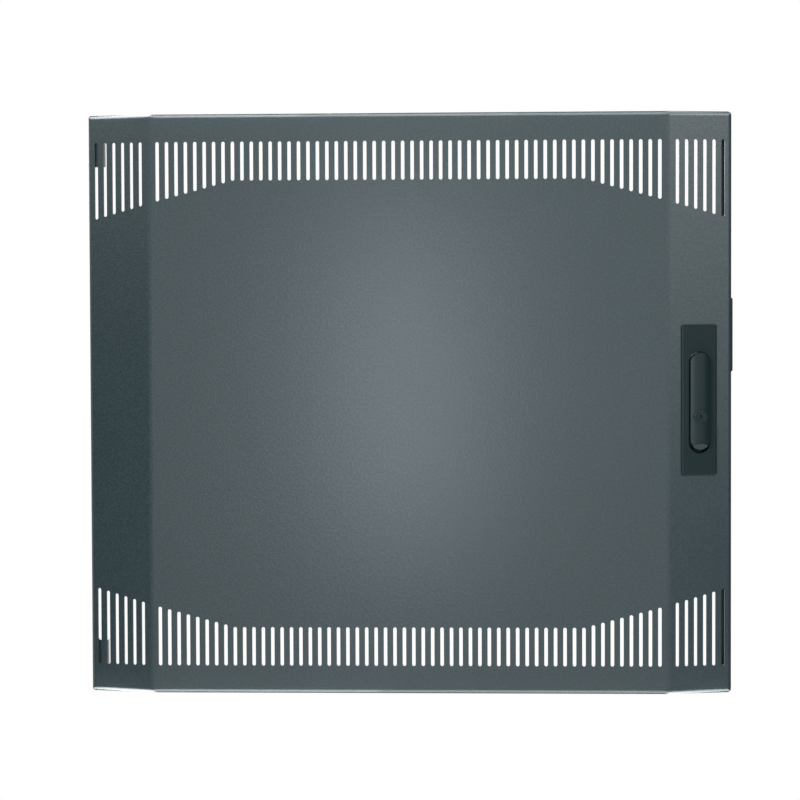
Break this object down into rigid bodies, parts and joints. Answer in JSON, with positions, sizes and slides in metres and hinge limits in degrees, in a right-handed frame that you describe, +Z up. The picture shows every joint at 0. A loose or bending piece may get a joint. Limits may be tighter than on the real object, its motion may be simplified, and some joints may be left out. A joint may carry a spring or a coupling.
{
  "type": "slotted equipment rack door",
  "caption": "Bowed sheet steel rack door with rows of vent slots along top and bottom, bushed hinge blocks and a lockable swing handle with a cam.",
  "frame": {"origin": "on the hinge axis, level with the bottom edge of the door", "axes": "+X from the hinge side to the latch side, +Y into the rack, +Z up"},
  "size_m": [0.6012, 0.0488, 0.541],
  "materials": {
    "powder_coat": "fine textured powder coat, satin",
    "dish_black": "fine moulded texture",
    "handle_black": "satin black over die casting",
    "barrel_black": "satin black over die casting",
    "bright_zinc": "bright zinc plate",
    "dark_steel": "black oxide",
    "nylon": "natural moulded nylon",
    "edge_black": "matte black",
    "rubber": "matte black rubber"
  },
  "bodies": {
    "door": {"door_panel": "powder_coat", "upper_hinge_block": "powder_coat", "lower_hinge_block": "powder_coat", "upper_hinge_bush": "nylon", "lower_hinge_bush": "nylon", "hinge_screws": "dark_steel", "handle_dish": "dish_black", "dish_gasket": "rubber", "upper_clamp_plate": "bright_zinc", "lower_clamp_plate": "bright_zinc", "clamp_screws": "bright_zinc", "latch_edge_plate": "edge_black", "edge_plate_rivets": "dark_steel", "lip_bumpers": "rubber", "earth_stud": "bright_zinc", "earth_washer": "bright_zinc", "earth_nut": "bright_zinc"},
    "spindle_unit": {"spindle": "bright_zinc", "spindle_washer": "bright_zinc", "spindle_clip": "dark_steel", "latch_cam": "bright_zinc", "cam_washer": "bright_zinc", "cam_screw": "bright_zinc"},
    "handle": {"swing_handle": "handle_black", "handle_pivot_pin": "bright_zinc", "lock_barrel": "barrel_black"},
    "key": {"key_plug": "barrel_black", "lock_tongue": "bright_zinc"}
  },
  "joints": [
    {"name": "handle_turn", "type": "hinge", "parent": "door", "child": "spindle_unit", "pos_m": [0.56204, -0.02014, 0.30855], "axis": [-0.2419, 0.9703, 0], "range_deg": [0, 90]},
    {"name": "handle_lift", "type": "hinge", "parent": "spindle_unit", "child": "handle", "pos_m": [0.5631, -0.02441, 0.31065], "axis": [-0.9703, -0.2419, 0], "range_deg": [0, 40]},
    {"name": "key_turn", "type": "hinge", "parent": "handle", "child": "key", "pos_m": [0.56349, -0.02597, 0.25855], "axis": [-0.2419, 0.9703, 0], "range_deg": [0, 90]}
  ]
}
